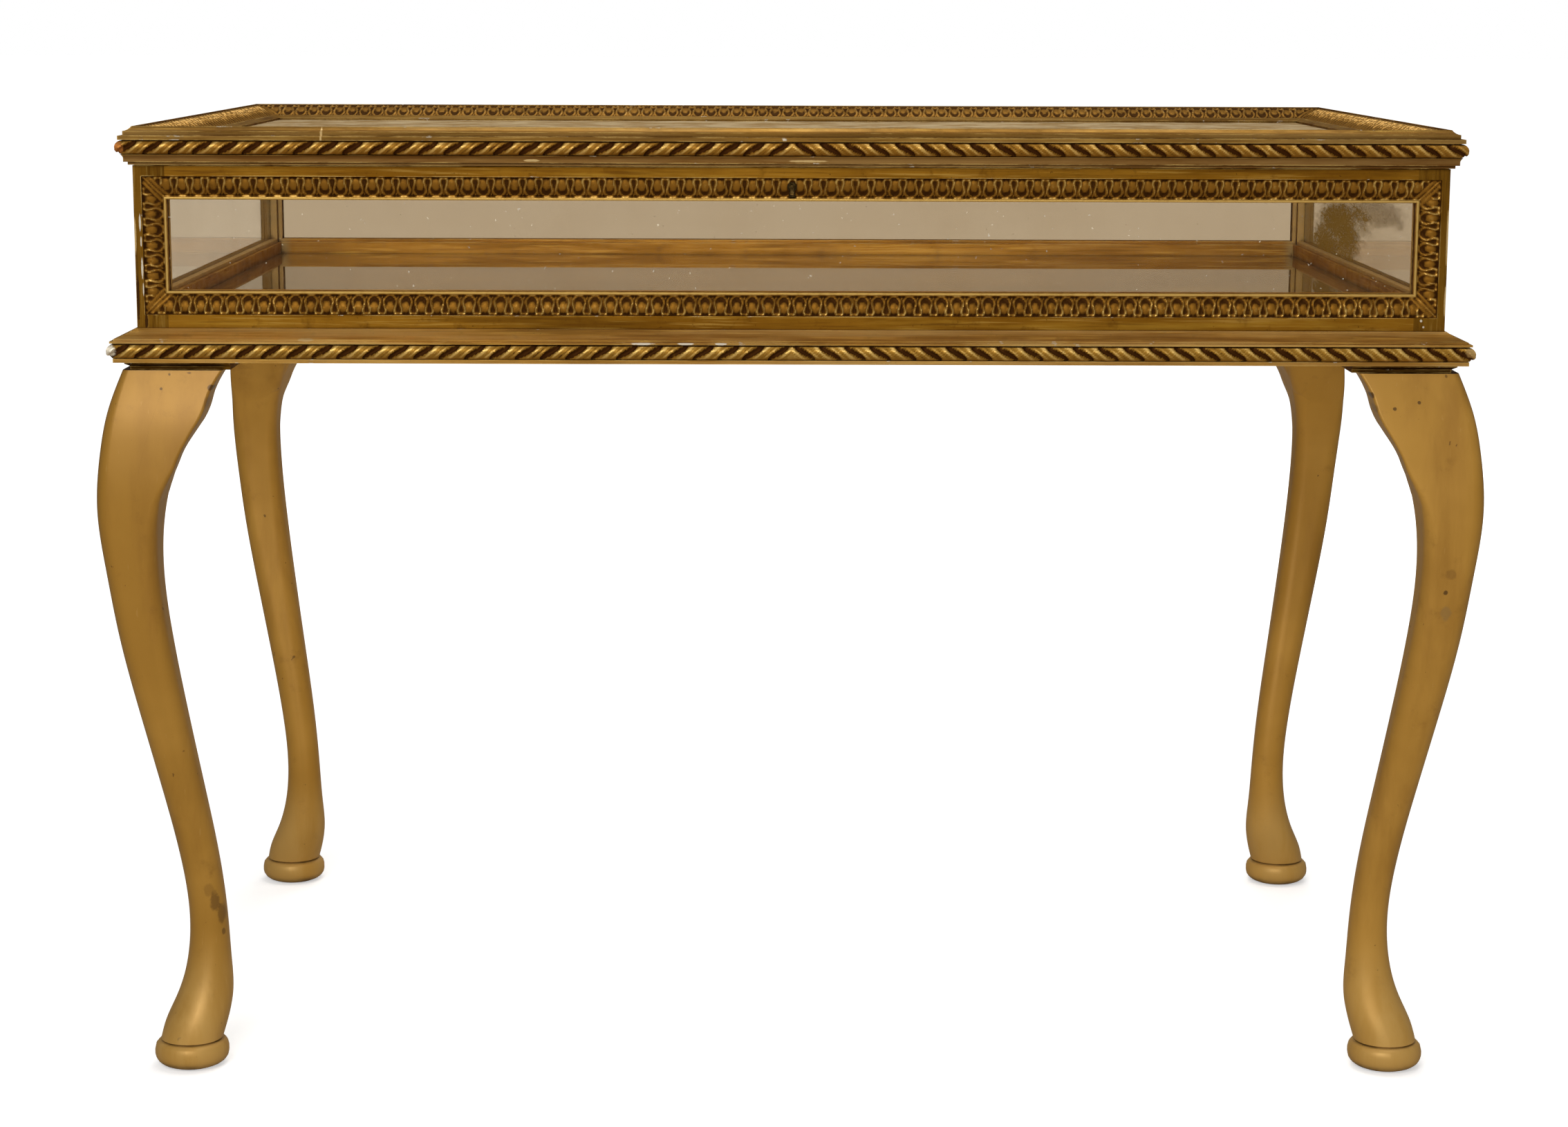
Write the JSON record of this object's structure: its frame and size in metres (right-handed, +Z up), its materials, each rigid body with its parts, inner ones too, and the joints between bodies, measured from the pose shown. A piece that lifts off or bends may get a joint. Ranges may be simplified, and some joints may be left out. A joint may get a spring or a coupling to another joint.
{
  "type": "collectors display table",
  "caption": "Shallow glazed display case with a hinged glazed lid, egg-and-dart and twisted-ribbon mouldings, on cabriole legs with pad feet.",
  "frame": {"origin": "on the floor, under the middle of the case", "axes": "+X along the front to the right, +Y from front to rear, +Z up; millimetres"},
  "size_m": [1.1044, 0.6844, 0.7756],
  "materials": {
    "gilt": "aged gilding over gesso, satin",
    "bronze_gilt": "bronze-gold gilding, satin",
    "plain_wood": "dark stained",
    "brass": "aged, polished by use",
    "glass": "clear, slightly warm"
  },
  "bodies": {
    "case": {"base_moulding_front": "gilt", "base_moulding_left": "gilt", "base_moulding_rear": "gilt", "base_moulding_right": "gilt", "base_rope": "gilt", "bottom_rail_front": "gilt", "bottom_rail_left": "gilt", "bottom_rail_rear": "gilt", "bottom_rail_right": "gilt", "corner_post_front_left": "gilt", "corner_post_front_right": "gilt", "corner_post_rear_left": "gilt", "corner_post_rear_right": "gilt", "egg_and_dart_front": "gilt", "egg_and_dart_left": "gilt", "egg_and_dart_rear": "gilt", "egg_and_dart_right": "gilt", "floor_ledges": "plain_wood", "floor_pane": "glass", "glazing_beads": "gilt", "hinge_leaves_case": "brass", "hinge_pins": "brass", "keyhole_liner": "brass", "knee_blocks": "bronze_gilt", "leg_cap_front_left": "bronze_gilt", "leg_cap_front_right": "bronze_gilt", "leg_cap_rear_left": "bronze_gilt", "leg_cap_rear_right": "bronze_gilt", "leg_front_left": "bronze_gilt", "leg_front_right": "bronze_gilt", "leg_rear_left": "bronze_gilt", "leg_rear_right": "bronze_gilt", "leg_tenons": "plain_wood", "lock_backplate": "brass", "lock_case": "brass", "pane_front": "glass", "pane_left": "glass", "pane_rear": "glass", "pane_right": "glass", "top_rail_front": "gilt", "top_rail_left": "gilt", "top_rail_rear": "gilt", "top_rail_right": "gilt"},
    "lid": {"hinge_leaves_lid": "brass", "lid_egg_and_dart": "gilt", "lid_glazing_beads": "gilt", "lid_pane": "glass", "lid_rail_front": "gilt", "lid_rail_left": "gilt", "lid_rail_rear": "gilt", "lid_rail_right": "gilt", "lid_rope": "gilt", "link_plate": "brass"},
    "lock_bolt_body": {"lock_bolt": "brass"}
  },
  "joints": [
    {"name": "lid_hinge", "type": "hinge", "parent": "case", "child": "lid", "pos_m": [0, 0.3135, 0.74525], "axis": [-1, 0, 0], "range_deg": [0, 95]},
    {"name": "bolt_slide", "type": "slide", "parent": "case", "child": "lock_bolt_body", "axis": [1, 0, 0], "range_m": [0, 0.005]}
  ]
}
